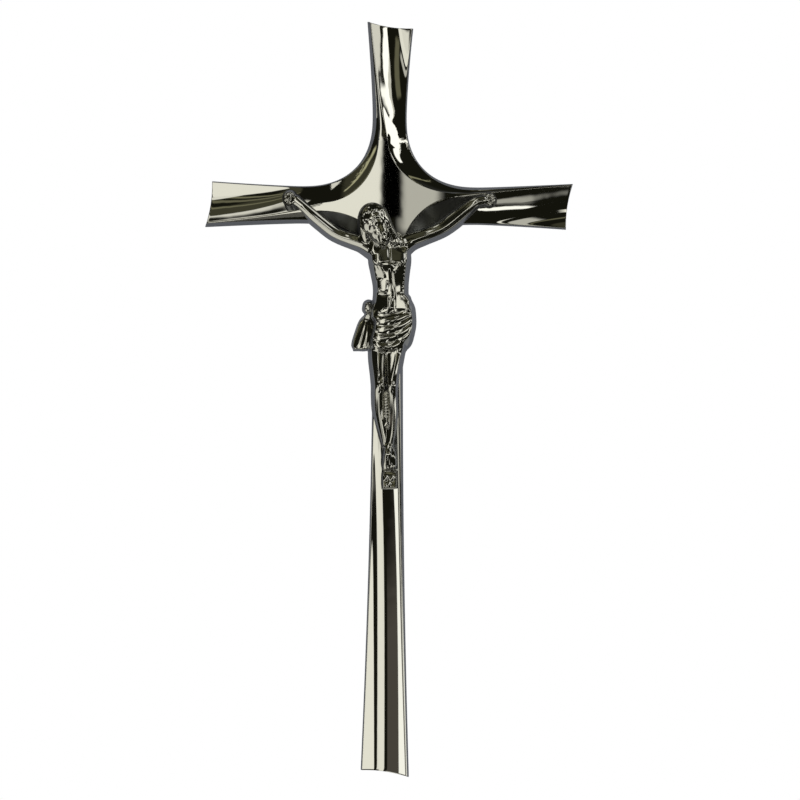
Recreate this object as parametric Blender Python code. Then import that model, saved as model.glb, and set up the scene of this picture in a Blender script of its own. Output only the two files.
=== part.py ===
# Wall cross with a relief figure, cast in one piece.
# Metres, +Z up. The front faces -Y and the flat back lies in the plane Y = 0.
# The origin is on the back, where the middle lines of the four arms cross.

import math

import bmesh
import bpy
import numpy as np

# Cross: reach of the arms from the crossing to the middle of their ends
SHORT_REACH = 0.0954
FOOT_REACH = 0.3010

# Cross: half widths of the arms at the back, where each is narrowest and at its end
TOP_NECK_HALF = 0.0090
SIDE_NECK_HALF = 0.0099
FOOT_NECK_HALF = 0.0079
SHORT_END_HALF = 0.0122
FOOT_END_HALF = 0.0128

# Cross: how far from the crossing each arm is narrowest, and where the tips of the star end
SHORT_NECK_AT = 0.0462
FOOT_NECK_AT = 0.0445
STAR_TIP_AT = 0.0355

# Cross: the ends are cut askew and hollow
END_SKEW = 0.0012
END_HOLLOW = 0.0018
END_HOLLOW_SIDE = -0.25

# Cross: heights above the back
STAR_HEIGHT = 0.0136
STAR_TIP_HEIGHT = 0.0122
SHORT_CREST_END = 0.0064
FOOT_CREST_END = 0.0062
RIM_HEIGHT = 0.0032
COVE_RADIUS = 0.021
TAIL_SLOPE = 0.9
CREST_END_WIDTH = 0.0009
STRIP_END_WIDTH = 0.0005
WALL_DRAFT = math.radians(12)

# Cross: the coves' corners, where 2 is a round one and more is fuller
UPPER_CORNER = 2.35
LOWER_CORNER = 2.6

# Cross: how the ridge swings from the star's tip to the arm's leading edge, as shares and powers of the way
TIP_RIM_SHARE = 0.6
STRIP_CLOSING = 1.5
RIDGE_SWING = 0.06
RIDGE_THINNING = 5
RIM_RISE_FROM = 0.4
END_CLOSENESS = 3

# Figure: its height from the crown to the foot of the block, and depths in shares of that height
FIGURE_HEIGHT = 0.151
FIGURE_BULGE = 0.65
FIGURE_DRAFT = math.radians(8)
BLEND = 7
PLATE_BLEND = 3.5
FIGURE_MARGIN = 8
FIGURE_GRID = 0.0007
FIGURE_FACES = 6600

# Behind the back plane both bodies run on before they are cut off flat
CROSS_OVERRUN = 0.004
FIGURE_OVERRUN = 0.002

# Plated brass
PLATE_COLOUR = (0.20, 0.195, 0.17, 1)
PLATE_ROUGHNESS = 0.16

PART_NAME = "crucifix"

DRAFT = math.tan(WALL_DRAFT)
STEEP = 1 / math.tan(FIGURE_DRAFT)
MIL = FIGURE_HEIGHT / 1000

# The arms in turn clockwise. Outward is the arm's way from the crossing, (x, z).
# The crest offsets are to the leading side, where the arm's high ridge runs:
# the star's tip lies between them.
ARMS = (
    dict(outward=(0, 1), reach=SHORT_REACH, neck=TOP_NECK_HALF, neck_at=SHORT_NECK_AT, end=SHORT_END_HALF,
         flare=1.5, crest_end=SHORT_CREST_END, crest_fall=1.0, crest_inner=0.0012, crest_outer=0.0054),
    dict(outward=(1, 0), reach=SHORT_REACH, neck=SIDE_NECK_HALF, neck_at=SHORT_NECK_AT, end=SHORT_END_HALF,
         flare=1.3, crest_end=SHORT_CREST_END, crest_fall=1.0, crest_inner=0.0042, crest_outer=0.0060),
    dict(outward=(0, -1), reach=FOOT_REACH, neck=FOOT_NECK_HALF, neck_at=FOOT_NECK_AT, end=FOOT_END_HALF,
         flare=2.0, crest_end=FOOT_CREST_END, crest_fall=4.0, crest_inner=0.0020, crest_outer=0.0046),
    dict(outward=(-1, 0), reach=SHORT_REACH, neck=SIDE_NECK_HALF, neck_at=SHORT_NECK_AT, end=SHORT_END_HALF,
         flare=1.3, crest_end=SHORT_CREST_END, crest_fall=1.0, crest_inner=-0.0005, crest_outer=0.0034),
)
CORNERS = (UPPER_CORNER, LOWER_CORNER, LOWER_CORNER, UPPER_CORNER)

# Steps of the cross's mesh: along an arm, round a corner and across a cove
ARM_STEPS = 9
CORNER_STEPS = 12
COVE_STEPS = 6
STAR_RINGS = 3

# Figure: rounded runs of (x, z, half width, front), in thousandths of its height
LIMBS = {
    "trunk": [(2, -156, 66, 123), (4, -196, 65, 131), (6, -240, 59, 127), (8, -284, 54, 115), (9, -325, 56, 113),
              (13, -363, 73, 114), (17, -409, 72, 114), (5, -458, 64, 109), (0, -490, 57, 103)],
    "left arm": [(-326, 12, 18, 91), (-303, -6, 17, 92), (-270, -35, 20, 93), (-231, -67, 21, 91),
                 (-196, -94, 21, 90), (-164, -111, 20, 91), (-129, -123, 21, 95), (-94, -133, 24, 103),
                 (-55, -149, 32, 117)],
    "right arm": [(329, 17, 18, 92), (302, 9, 18, 94), (267, -18, 21, 95), (227, -51, 23, 94), (194, -76, 22, 92),
                  (166, -91, 21, 92), (124, -107, 22, 95), (78, -124, 25, 105), (43, -145, 32, 117)],
    "left leg": [(-33, -472, 28, 96), (-33, -536, 26, 101), (-30, -595, 21, 106), (-27, -634, 20, 109),
                 (-28, -669, 20, 98), (-26, -718, 20, 89), (-18, -771, 17, 83), (-4, -841, 13, 79)],
    "right leg": [(26, -465, 36, 96), (20, -535, 27, 103), (16, -595, 20, 109), (15, -634, 17, 113),
                  (16, -669, 16, 101), (17, -722, 18, 93), (15, -778, 16, 88), (8, -841, 13, 86)],
    "upper foot": [(5, -845, 13, 88), (1, -876, 14, 93), (-1, -904, 15, 81), (0, -918, 15, 73)],
    "lower foot": [(12, -848, 13, 79), (18, -880, 14, 79), (19, -911, 14, 73)],
    "between the legs": [(-6, -599, 11, 66), (-6, -665, 12, 72), (-3, -788, 11, 63)],
    "hair to the right": [(-24, -26, 12, 142), (-13, -60, 16, 139), (1, -98, 20, 129), (16, -128, 25, 119)],
    "hair to the left": [(-94, -48, 11, 132), (-90, -86, 12, 126), (-78, -122, 15, 116)],
    "knot": [(-69, -352, 15, 63), (-71, -364, 15, 63)],
}

# Figure: rounded forms as centre, half sizes, front and lean in degrees
DOMES = {
    "skull": ((-53, -56), (51, 59), 159, 18),
    "face": ((-36, -93), (32, 46), 156, 18),
    "beard": ((-22, -125), (19, 19), 150, 18),
    "hip": ((50, -405), (38, 74), 113, 0),
    "left hand": ((-347, 20), (24, 26), 90, 0),
    "right hand": ((350, 20), (26, 26), 90, 0),
}

# Figure: flat forms as corners, edge radius and front
PLATES = {
    "cloth end": ([(-78, -381), (-59, -381), (-59, -506), (-118, -508), (-122, -494)], 7, 41),
    "foot block": ([(-13, -933), (30, -932), (32, -991), (-14, -991)], 7, 65),
}

# Figure: carving as (points, half width, rise), where a cut has a negative rise
CARVING = {
    "chest": [
        ([(1, -142), (1, -170), (5, -202)], 8, -2.6),
        ([(-51, -199), (-27, -206), (1, -197)], 9, -2.6),
        ([(8, -196), (30, -203), (51, -192)], 9, -2.6),
    ],
    "ribs": [
        ([(-41, -198), (-27, -226), (-12, -254)], 9, 4.0),
        ([(49, -196), (35, -219), (17, -240)], 9, 3.6),
        ([(-46, -212), (-35, -220)], 5, -2.2),
        ([(-46, -228), (-33, -236)], 5, -2.2),
        ([(47, -226), (58, -219)], 5, -2.2),
        ([(47, -244), (58, -237)], 5, -2.2),
    ],
    "belly": [
        ([(5, -219), (9, -261), (20, -317), (20, -374)], 9, -5.0),
        ([(-33, -307), (-12, -312), (6, -305)], 7, -3.0),
        ([(27, -300), (41, -307), (55, -300)], 7, -2.6),
        ([(48, -317), (50, -345), (50, -368)], 21, 3.3),
        ([(-19, -321), (-22, -349), (-11, -377)], 18, 2.6),
    ],
    "cloth folds": [
        ([(-57, -388), (-29, -396), (6, -396), (42, -389), (87, -371)], 8, 6.6),
        ([(-50, -408), (-18, -414), (21, -413), (56, -400)], 7, 5.0),
        ([(-53, -425), (-25, -434), (10, -435), (45, -424), (73, -401)], 7, 5.6),
        ([(-53, -444), (-25, -455), (10, -455), (45, -440), (73, -417)], 8, 6.0),
        ([(-53, -466), (-28, -476), (4, -476), (35, -461), (70, -435)], 8, 6.0),
        ([(-53, -487), (-28, -496), (0, -492), (28, -476), (67, -449)], 8, 6.0),
        ([(0, -507), (14, -490), (35, -474), (56, -465)], 7, 6.0),
        ([(80, -387), (82, -415), (72, -444), (54, -468)], 8, 5.3),
    ],
    "cloth end folds": [
        ([(-74, -395), (-88, -445), (-105, -498)], 7, 4.6),
        ([(-67, -409), (-74, -459), (-84, -501)], 6, 4.0),
        ([(-84, -346), (-71, -353), (-59, -343)], 6, 4.6),
        ([(-83, -367), (-71, -362), (-59, -370)], 6, 4.6),
    ],
    "knees": [
        ([(-23, -621), (-23, -644)], 11, 3.6),
        ([(14, -619), (15, -642)], 11, 3.6),
    ],
    "stones of the block": [
        ([(-6, -957), (1, -957)], 9, 6.0),
        ([(15, -955), (22, -957)], 9, 6.0),
        ([(5, -978), (11, -978)], 9, 6.0),
    ],
    "band round the head": [
        ([(-98, -40), (-84, -27), (-60, -28), (-35, -17), (-3, -28)], 9, 6.6),
    ],
    "locks of hair": [
        ([(-98, -70), (-81, -54), (-61, -47)], 7, 5.3),
        ([(-95, -84), (-88, -114), (-91, -138)], 7, 5.6),
        ([(-78, -91), (-73, -121), (-76, -145)], 7, 5.6),
        ([(-12, -44), (-2, -72), (-5, -96), (2, -121), (-2, -142)], 7, 6.0),
        ([(2, -58), (16, -86), (22, -114), (14, -142)], 7, 6.0),
        ([(18, -80), (34, -107), (38, -133)], 7, 6.0),
        ([(33, -88), (51, -110), (55, -138)], 7, 5.6),
    ],
    "fingers": [
        ([(-372, 35), (-346, 31)], 7, 6.0),
        ([(-376, 20), (-349, 18)], 7, 6.0),
        ([(-374, 5), (-349, 6)], 7, 6.0),
        ([(-364, -8), (-342, -3)], 7, 6.0),
        ([(-341, 40), (-322, 28), (-323, 5)], 7, 6.0),
        ([(376, 38), (350, 35)], 7, 6.0),
        ([(380, 23), (353, 22)], 7, 6.0),
        ([(378, 8), (353, 10)], 7, 6.0),
        ([(368, -5), (346, 0)], 7, 6.0),
        ([(344, 44), (327, 33), (327, 10)], 7, 6.0),
    ],
}

RUN_STEPS = 5
FADE = 0.5


def clear_scene():
    for thing in list(bpy.data.objects):
        bpy.data.objects.remove(thing, do_unlink=True)


def collection(name):
    made = bpy.data.collections.new(name)
    bpy.context.scene.collection.children.link(made)
    return made


def plated_brass():
    material = bpy.data.materials.new("plated brass")
    material.use_nodes = True
    shader = material.node_tree.nodes["Principled BSDF"]
    shader.inputs["Base Color"].default_value = PLATE_COLOUR
    shader.inputs["Metallic"].default_value = 1
    shader.inputs["Roughness"].default_value = PLATE_ROUGHNESS
    return material


# Plan of the cross

def arm_share(arm, s, start):
    return min(1.0, max(0.0, (s - start) / (arm["reach"] - start)))


def half_width(arm, s):
    share = arm_share(arm, s, arm["neck_at"])
    return arm["neck"] + (arm["end"] - arm["neck"]) * share ** arm["flare"]


def star_height(x, z):
    """The star is a shallow pillow, lower at its tips."""
    return STAR_HEIGHT - (STAR_HEIGHT - STAR_TIP_HEIGHT) * (x * x + z * z) / STAR_TIP_AT ** 2


def crest_height(arm, s):
    share = arm_share(arm, s, STAR_TIP_AT)
    return arm["crest_end"] + (STAR_TIP_HEIGHT - arm["crest_end"]) * (1 - share) ** arm["crest_fall"]


def tail_gap(arm, s):
    """Width of the strip between the crest and the leading edge, which thins towards the arm's end."""
    tip_edge = half_width(arm, STAR_TIP_AT) - STAR_TIP_HEIGHT * DRAFT * TIP_RIM_SHARE
    share = arm_share(arm, s, STAR_TIP_AT)
    start = max(STRIP_END_WIDTH, tip_edge - arm["crest_outer"])
    return STRIP_END_WIDTH + (start - STRIP_END_WIDTH) * (1 - share) ** STRIP_CLOSING


def leading_rim(arm, s):
    return crest_height(arm, s) - TAIL_SLOPE * tail_gap(arm, s)


def crest_sides(arm, s):
    """Offsets of the crest's two sides from the arm's middle line, to the leading side."""
    share = arm_share(arm, s, STAR_TIP_AT)
    if s <= STAR_TIP_AT:
        return arm["crest_inner"], arm["crest_outer"]
    outer = half_width(arm, s) - leading_rim(arm, s) * DRAFT - tail_gap(arm, s)
    outer = arm["crest_outer"] + (outer - arm["crest_outer"]) * min(1.0, share / RIDGE_SWING)
    narrowing = (1 - share) ** RIDGE_THINNING
    width = CREST_END_WIDTH + (arm["crest_outer"] - arm["crest_inner"] - CREST_END_WIDTH) * narrowing
    return outer - width, outer


def end_line(arm, lateral):
    """How far the arm reaches at this offset from its middle line, positive to the leading side."""
    side = lateral / arm["end"]
    hollow = 1 - (side - END_HOLLOW_SIDE) ** 2 / (1 + abs(END_HOLLOW_SIDE)) ** 2
    return arm["reach"] + END_SKEW * side - END_HOLLOW * (hollow - 0.5)


def cove_stations(first, second, fullness):
    """Stations of one cove, from the end of the first arm round the corner to the end of the second.

    Each is (outer point, inner point, rim, crest, nearness of an end, arm at that end), with points as
    (along the second arm, along the first)."""
    rows = []
    for step in range(ARM_STEPS + 1):
        share = 1 - step / ARM_STEPS
        at = first["neck_at"] + share * (first["reach"] - first["neck_at"])
        tip = STAR_TIP_AT + share * (first["reach"] - STAR_TIP_AT)
        inner = -crest_sides(first, tip)[0]
        rows.append(((half_width(first, at), at), (inner, tip), RIM_HEIGHT, crest_height(first, tip), share, 0))
    centre = (second["neck_at"], first["neck_at"])
    spans = (centre[0] - first["neck"], centre[1] - second["neck"])
    star_from = -first["crest_inner"]
    star_to = second["crest_outer"]
    star_spans = (STAR_TIP_AT - star_from, STAR_TIP_AT - star_to)
    for step in range(1, CORNER_STEPS):
        angle = math.pi / 2 * step / CORNER_STEPS
        power = 2 / fullness
        outer = (centre[0] - spans[0] * math.cos(angle) ** power, centre[1] - spans[1] * math.sin(angle) ** power)
        inner = (STAR_TIP_AT - star_spans[0] * math.cos(angle), STAR_TIP_AT - star_spans[1] * math.sin(angle))
        turn = max(0.0, step / CORNER_STEPS - RIM_RISE_FROM) / (1 - RIM_RISE_FROM)
        rise = turn * turn * (3 - 2 * turn)
        rim = RIM_HEIGHT + (leading_rim(second, second["neck_at"]) - RIM_HEIGHT) * rise
        rows.append((outer, inner, rim, star_height(*inner), 0.0, 0))
    for step in range(ARM_STEPS + 1):
        share = step / ARM_STEPS
        at = second["neck_at"] + share * (second["reach"] - second["neck_at"])
        tip = STAR_TIP_AT + share * (second["reach"] - STAR_TIP_AT)
        inner = crest_sides(second, tip)[1]
        rim = leading_rim(second, at)
        rows.append(((at, half_width(second, at)), (tip, inner), rim, crest_height(second, tip), share, 1))
    return rows


def outline_normals(rows):
    """Unit normals of the outer outline, pointing away from the metal towards the open corner."""
    outer = np.array([row[0] for row in rows])
    along = np.gradient(outer, axis=0)
    normal = np.column_stack([-along[:, 1], along[:, 0]])
    normal /= np.linalg.norm(normal, axis=1)[:, None]
    return normal


def cove_grid(first, second, fullness):
    """Front points of a cove as (along second, along first, height), and where its wall meets the back."""
    rows = cove_stations(first, second, fullness)
    normals = outline_normals(rows)
    grid = []
    feet = []
    for row, normal in zip(rows, normals):
        outer, inner, rim, crest_top, share, which = row
        outer = np.array(outer)
        inner = np.array(inner)
        edge = outer - normal * rim * DRAFT
        arm = (first, second)[which]
        out_axis = 1 - which
        line = []
        sag = float(np.hypot(*(edge - inner))) ** 2 / (8 * COVE_RADIUS)
        for step in range(COVE_STEPS + 1):
            part = step / COVE_STEPS
            height = crest_top + (rim - crest_top) * part - sag * 4 * part * (1 - part)
            place = inner + (edge - inner) * part
            lateral = -place[0] if which == 0 else place[1]
            pull = end_line(arm, lateral) - arm["reach"] - height * DRAFT
            place[out_axis] += pull * share ** END_CLOSENESS
            line.append((place[0], place[1], height))
        foot = outer.copy()
        lateral = -foot[0] if which == 0 else foot[1]
        foot[out_axis] += (end_line(arm, lateral) - arm["reach"]) * share ** END_CLOSENESS
        grid.append(line)
        feet.append(foot)
    return np.array(grid), np.array(feet)


def make_cross():
    mesh = bmesh.new()
    placed = {}

    def vertex(x, z, y):
        key = (round(x, 7), round(z, 7), round(y, 7))
        if key not in placed:
            placed[key] = mesh.verts.new((x, y, z))
        return placed[key]

    def face(*corners):
        distinct = list(dict.fromkeys(corners))
        if len(distinct) > 2:
            mesh.faces.new(distinct)

    fronts = []
    for number, first in enumerate(ARMS):
        second = ARMS[(number + 1) % 4]
        grid, feet = cove_grid(first, second, CORNERS[number])
        a = np.array(first["outward"])
        b = np.array(second["outward"])
        plan = grid[..., :1] * b + grid[..., 1:2] * a
        front = [[vertex(p[0], p[1], -h) for p, h in zip(line, heights)]
                 for line, heights in zip(plan, grid[..., 2])]
        back = []
        for line, heights, foot in zip(plan, grid[..., 2], feet):
            foot = foot[0] * b + foot[1] * a
            foot = foot + (foot - line[-1]) * CROSS_OVERRUN / heights[-1]
            back.append(vertex(foot[0], foot[1], CROSS_OVERRUN))
        for i in range(len(front) - 1):
            for j in range(COVE_STEPS):
                face(front[i][j], front[i][j + 1], front[i + 1][j + 1], front[i + 1][j])
            face(front[i][-1], back[i], back[i + 1], front[i + 1][-1])
        fronts.append((front, back))
    # The crest along each arm lies between two coves, and the star between all four
    ends = []
    for number in range(4):
        front, back = fronts[number]
        before, before_back = fronts[number - 1]
        count = ARM_STEPS + 1
        inner = [front[i][0] for i in range(count)]
        outer = [before[-1 - i][0] for i in range(count)]
        for i in range(count - 1):
            face(outer[i], inner[i], inner[i + 1], outer[i + 1])
        ends.append([before_back[-1]] + before[-1][::-1] + front[0] + [back[0]])
    star = []
    for number in range(4):
        front = fronts[number][0]
        star += [front[i][0] for i in range(ARM_STEPS, ARM_STEPS + CORNER_STEPS + 1)]
    rings = [star]
    for ring in range(1, STAR_RINGS):
        size = 1 - ring / STAR_RINGS
        plan = [(v.co.x * size, v.co.z * size) for v in star]
        rings.append([vertex(x, z, -star_height(x, z)) for x, z in plan])
    middle = vertex(0, 0, -STAR_HEIGHT)
    for large, small in zip(rings, rings[1:]):
        for i in range(len(star)):
            k = (i + 1) % len(star)
            face(large[i], large[k], small[k], small[i])
    for i in range(len(star)):
        face(rings[-1][i], rings[-1][(i + 1) % len(star)], middle)
    for end in ends:
        face(*end)
    bmesh.ops.remove_doubles(mesh, verts=mesh.verts, dist=2e-7)
    rim = [edge for edge in mesh.edges if edge.is_boundary]
    bmesh.ops.triangle_fill(mesh, edges=rim, use_beauty=True)
    bmesh.ops.triangulate(mesh, faces=mesh.faces)
    bmesh.ops.recalc_face_normals(mesh, faces=mesh.faces)
    return mesh


# Relief of the figure: its height above the back, over the plan

def soft_max(first, second, blend):
    overlap = np.maximum(0, 1 - np.abs(first - second) / blend)
    return np.maximum(first, second) + blend * overlap * overlap / 4


def smooth_run(points):
    """A smooth curve through the points, which carries along everything that each of them states."""
    given = np.array(points, float)
    given = np.vstack([2 * given[0] - given[1], given, 2 * given[-1] - given[-2]])
    run = []
    for a, b, c, d in zip(given, given[1:], given[2:], given[3:]):
        for t in np.arange(RUN_STEPS) / RUN_STEPS:
            run.append(0.5 * (2 * b + (c - a) * t + (2 * a - 5 * b + 4 * c - d) * t * t
                              + (3 * b - a - 3 * c + d) * t ** 3))
    return np.array(run + [given[-2]])


def nearest(x, z, run):
    """Distance to a run, the share of it at the nearest place, and the other values stated there."""
    best = np.full(x.shape, 1e9)
    values = np.zeros(x.shape + (run.shape[1] - 1,))
    for number, (a, b) in enumerate(zip(run, run[1:])):
        way = b - a
        share = ((x - a[0]) * way[0] + (z - a[1]) * way[1]) / (way[0] ** 2 + way[1] ** 2)
        share = np.clip(share, 0, 1)
        away = np.hypot(x - a[0] - share * way[0], z - a[1] - share * way[1])
        closer = away < best
        best[closer] = away[closer]
        values[closer, 0] = (number + share[closer]) / (len(run) - 1)
        values[closer, 1:] = a[2:] + share[closer, None] * way[2:]
    return best, values


def fall(away, radius, bulge):
    """Drop from the front of a rounded form at a distance from its middle, with a drafted wall beyond it."""
    turn = STEEP / math.hypot(bulge, STEEP)
    inside = np.minimum(away / radius, turn)
    return radius * bulge * (1 - np.sqrt(1 - inside * inside)) + STEEP * np.maximum(0, away - turn * radius)


def limb(x, z, stations):
    away, values = nearest(x, z, smooth_run(stations))
    return values[..., 2] - fall(away, values[..., 1], FIGURE_BULGE)


def dome(x, z, centre, sizes, front, lean):
    c = math.cos(math.radians(lean))
    s = math.sin(math.radians(lean))
    u = (x - centre[0]) * c + (z - centre[1]) * s
    v = (z - centre[1]) * c - (x - centre[0]) * s
    radius = min(sizes)
    return front - fall(np.hypot(u / sizes[0], v / sizes[1]) * radius, radius, FIGURE_BULGE)


def plate(x, z, corners, edge, front):
    away = np.full_like(x, -1e3)
    for (x0, z0), (x1, z1) in zip(corners, corners[1:] + corners[:1]):
        side = ((x1 - x0) * (z - z0) - (z1 - z0) * (x - x0)) / math.hypot(x1 - x0, z1 - z0)
        away = np.maximum(away, side)
    return front - fall(np.maximum(0, away + edge), edge, FIGURE_BULGE)


def stroke(x, z, points, width, rise):
    away, values = nearest(x, z, smooth_run(points))
    body = np.maximum(0, 1 - (away / width) ** 2) ** 1.5
    return rise * body * np.sin(math.pi * values[..., 0]) ** FADE


def figure_height(x, z):
    height = np.full_like(x, -1e3)
    for stations in LIMBS.values():
        height = soft_max(height, limb(x, z, stations), BLEND)
    for centre, sizes, front, lean in DOMES.values():
        height = soft_max(height, dome(x, z, centre, sizes, front, lean), BLEND)
    for corners, edge, front in PLATES.values():
        height = soft_max(height, plate(x, z, corners, edge, front), PLATE_BLEND)
    for strokes in CARVING.values():
        for points, width, rise in strokes:
            height += stroke(x, z, points, width, rise)
    return height


def figure_span():
    """Lowest and highest plan coordinates that the figure's forms reach, in thousandths of its height."""
    places = [(x + s * r, z + s * r) for run in LIMBS.values() for x, z, r, _ in run for s in (-1, 1)]
    places += [(c[0] + s * max(r), c[1] + s * max(r)) for c, r, _, _ in DOMES.values() for s in (-1, 1)]
    places += [p for corners, _, _ in PLATES.values() for p in corners]
    places = np.array(places)
    margin = max(front for *_, front in LIMBS["trunk"]) / STEEP + FIGURE_MARGIN
    return places.min(axis=0) - margin, places.max(axis=0) + margin


def make_figure():
    low, high = figure_span()
    low = low * MIL
    high = high * MIL
    size = high - low
    columns, rows = (int(math.ceil(v / FIGURE_GRID)) for v in size)
    mesh = bmesh.new()
    bmesh.ops.create_grid(mesh, x_segments=columns, y_segments=rows, size=0.5)
    mesh.verts.ensure_lookup_table()
    flat = np.array([v.co[:] for v in mesh.verts])
    x = low[0] + (flat[:, 0] + 0.5) * size[0]
    z = low[1] + (flat[:, 1] + 0.5) * size[1]
    height = figure_height(x / MIL, z / MIL) * MIL
    reach = -FIGURE_OVERRUN - 2 * FIGURE_GRID * STEEP
    for v, px, pz, ph in zip(mesh.verts, x, z, height):
        v.co = (px, -max(ph, reach), pz)
    spare = [v for v, ph in zip(mesh.verts, height) if ph < reach]
    bmesh.ops.delete(mesh, geom=spare, context="VERTS")
    bmesh.ops.bisect_plane(mesh, geom=mesh.verts[:] + mesh.edges[:] + mesh.faces[:],
                           plane_co=(0, FIGURE_OVERRUN, 0), plane_no=(0, 1, 0), clear_outer=True)
    bmesh.ops.triangulate(mesh, faces=mesh.faces)
    rim = [edge for edge in mesh.edges if edge.is_boundary]
    bmesh.ops.triangle_fill(mesh, edges=rim, use_beauty=True)
    bmesh.ops.recalc_face_normals(mesh, faces=mesh.faces)
    return mesh


def add_object(name, mesh, home):
    data = bpy.data.meshes.new(name)
    mesh.to_mesh(data)
    mesh.free()
    made = bpy.data.objects.new(name, data)
    home.objects.link(made)
    return made


def build():
    clear_scene()
    home = collection("wall cross")
    helpers = collection("helpers")
    cross = add_object(PART_NAME, make_cross(), home)
    figure = add_object("figure body", make_figure(), helpers)
    thin = figure.modifiers.new("fewer faces", "DECIMATE")
    thin.ratio = min(1.0, FIGURE_FACES / len(figure.data.polygons))
    figure.hide_render = True
    figure.display_type = "WIRE"
    join = cross.modifiers.new("cast together", "BOOLEAN")
    join.operation = "UNION"
    join.solver = "EXACT"
    join.object = figure
    span = 2 * (FOOT_REACH + SHORT_REACH)
    bpy.ops.mesh.primitive_cube_add(size=1, location=(0, span / 2, 0))
    behind = bpy.context.object
    behind.name = "behind the back"
    behind.scale = (span, span, span)
    bpy.ops.object.transform_apply(location=False, rotation=False, scale=True)
    for holder in list(behind.users_collection):
        holder.objects.unlink(behind)
    helpers.objects.link(behind)
    behind.hide_render = True
    behind.display_type = "WIRE"
    flat = cross.modifiers.new("flat back", "BOOLEAN")
    flat.operation = "DIFFERENCE"
    flat.solver = "EXACT"
    flat.object = behind
    cross.data.materials.append(plated_brass())


build()
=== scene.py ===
import math

import bmesh
import bpy
import numpy as np
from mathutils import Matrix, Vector


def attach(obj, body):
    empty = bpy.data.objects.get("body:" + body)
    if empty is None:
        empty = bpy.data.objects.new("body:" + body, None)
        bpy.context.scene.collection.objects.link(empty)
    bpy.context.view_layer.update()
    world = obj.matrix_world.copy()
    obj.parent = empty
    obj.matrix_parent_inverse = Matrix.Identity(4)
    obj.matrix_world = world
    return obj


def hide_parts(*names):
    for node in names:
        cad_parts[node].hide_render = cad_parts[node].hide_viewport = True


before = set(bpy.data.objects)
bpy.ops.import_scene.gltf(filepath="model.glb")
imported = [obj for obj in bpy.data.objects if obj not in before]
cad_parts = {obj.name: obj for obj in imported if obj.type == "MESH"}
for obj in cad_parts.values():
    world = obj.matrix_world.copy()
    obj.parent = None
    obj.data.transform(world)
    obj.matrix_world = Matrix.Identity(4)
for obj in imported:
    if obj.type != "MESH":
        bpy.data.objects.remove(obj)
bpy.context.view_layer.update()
print("frame loaded")


def deselectAll():
    bpy.ops.object.select_all(action="DESELECT")


def activate(piece):
    deselectAll()
    piece.select_set(True)
    bpy.context.view_layer.objects.active = piece


def applyAll(piece):
    activate(piece)
    for modifier in list(piece.modifiers):
        bpy.ops.object.modifier_apply(modifier=modifier.name)


def readAll(items, field, width, kind=np.float32):      # a row of values for each point, corner or face
    values = np.empty(len(items) * width, kind)
    items.foreach_get(field, values)
    return values.reshape(-1, width)


def ease(share):
    return share * share * (3 - 2 * share)


# Camera and plain stage

cameraSettings = {
    "place": (0.0066, -2.004, -0.1031),
    "lean": -0.0075,        # radians, the photo is taken a little askew
    "focal": 170,
    "sensor": 36,
    "floorLevel": -1.0,
    "floorSize": 0.7,
    "floorCuts": 3,
    "floorColour": (0.80, 0.79, 0.77, 1),
    "floorRoughness": 0.9,
}


def makeCamera():
    bpy.ops.object.camera_add(location=cameraSettings["place"],
                              rotation=(math.pi / 2, cameraSettings["lean"], 0))
    camera = bpy.context.object
    camera.name = "camera"
    camera.data.lens = cameraSettings["focal"]
    camera.data.sensor_width = cameraSettings["sensor"]
    bpy.context.scene.camera = camera


def makeFloor():
    deselectAll()
    level = cameraSettings["floorLevel"]
    bpy.ops.mesh.primitive_plane_add(size=cameraSettings["floorSize"], location=(0, 0, level))
    floor = bpy.context.object
    floor.name = "floor"
    bpy.ops.object.mode_set(mode="EDIT")
    bpy.ops.mesh.select_all(action="SELECT")
    bpy.ops.mesh.subdivide(number_cuts=cameraSettings["floorCuts"])
    bpy.ops.object.mode_set(mode="OBJECT")
    paint = bpy.data.materials.new("floor paint")
    paint.use_nodes = True
    shader = paint.node_tree.nodes["Principled BSDF"]
    shader.inputs["Base Color"].default_value = cameraSettings["floorColour"]
    shader.inputs["Roughness"].default_value = cameraSettings["floorRoughness"]
    floor.data.materials.append(paint)


makeCamera()
makeFloor()
print("camera and floor made")


# Shader maths

class Wire:
    def __init__(self, graph, socket):
        self.graph = graph
        self.socket = socket

    def math(self, operation, first, second=0.0):
        return self.graph.node("ShaderNodeMath", {"operation": operation}, {0: first, 1: second})

    def __add__(self, other):
        return self.math("ADD", self, other)

    def __radd__(self, other):
        return self.math("ADD", other, self)

    def __sub__(self, other):
        return self.math("SUBTRACT", self, other)

    def __rsub__(self, other):
        return self.math("SUBTRACT", other, self)

    def __mul__(self, other):
        return self.math("MULTIPLY", self, other)

    def __rmul__(self, other):
        return self.math("MULTIPLY", other, self)


class Graph:
    def __init__(self, tree):
        self.tree = tree

    def node(self, kind, settings, sockets, output=0):
        made = self.tree.nodes.new(kind)
        for name, value in settings.items():
            setattr(made, name, value)
        for name, value in sockets.items():
            if isinstance(value, Wire):
                self.tree.links.new(value.socket, made.inputs[name])
            else:
                made.inputs[name].default_value = value
        return Wire(self, made.outputs[output])

    def plug(self, wire, node, name):
        self.tree.links.new(wire.socket, node.inputs[name])


# Studio: white behind the cross for the camera, and for the plate a dark room with soft boxes of light

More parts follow.
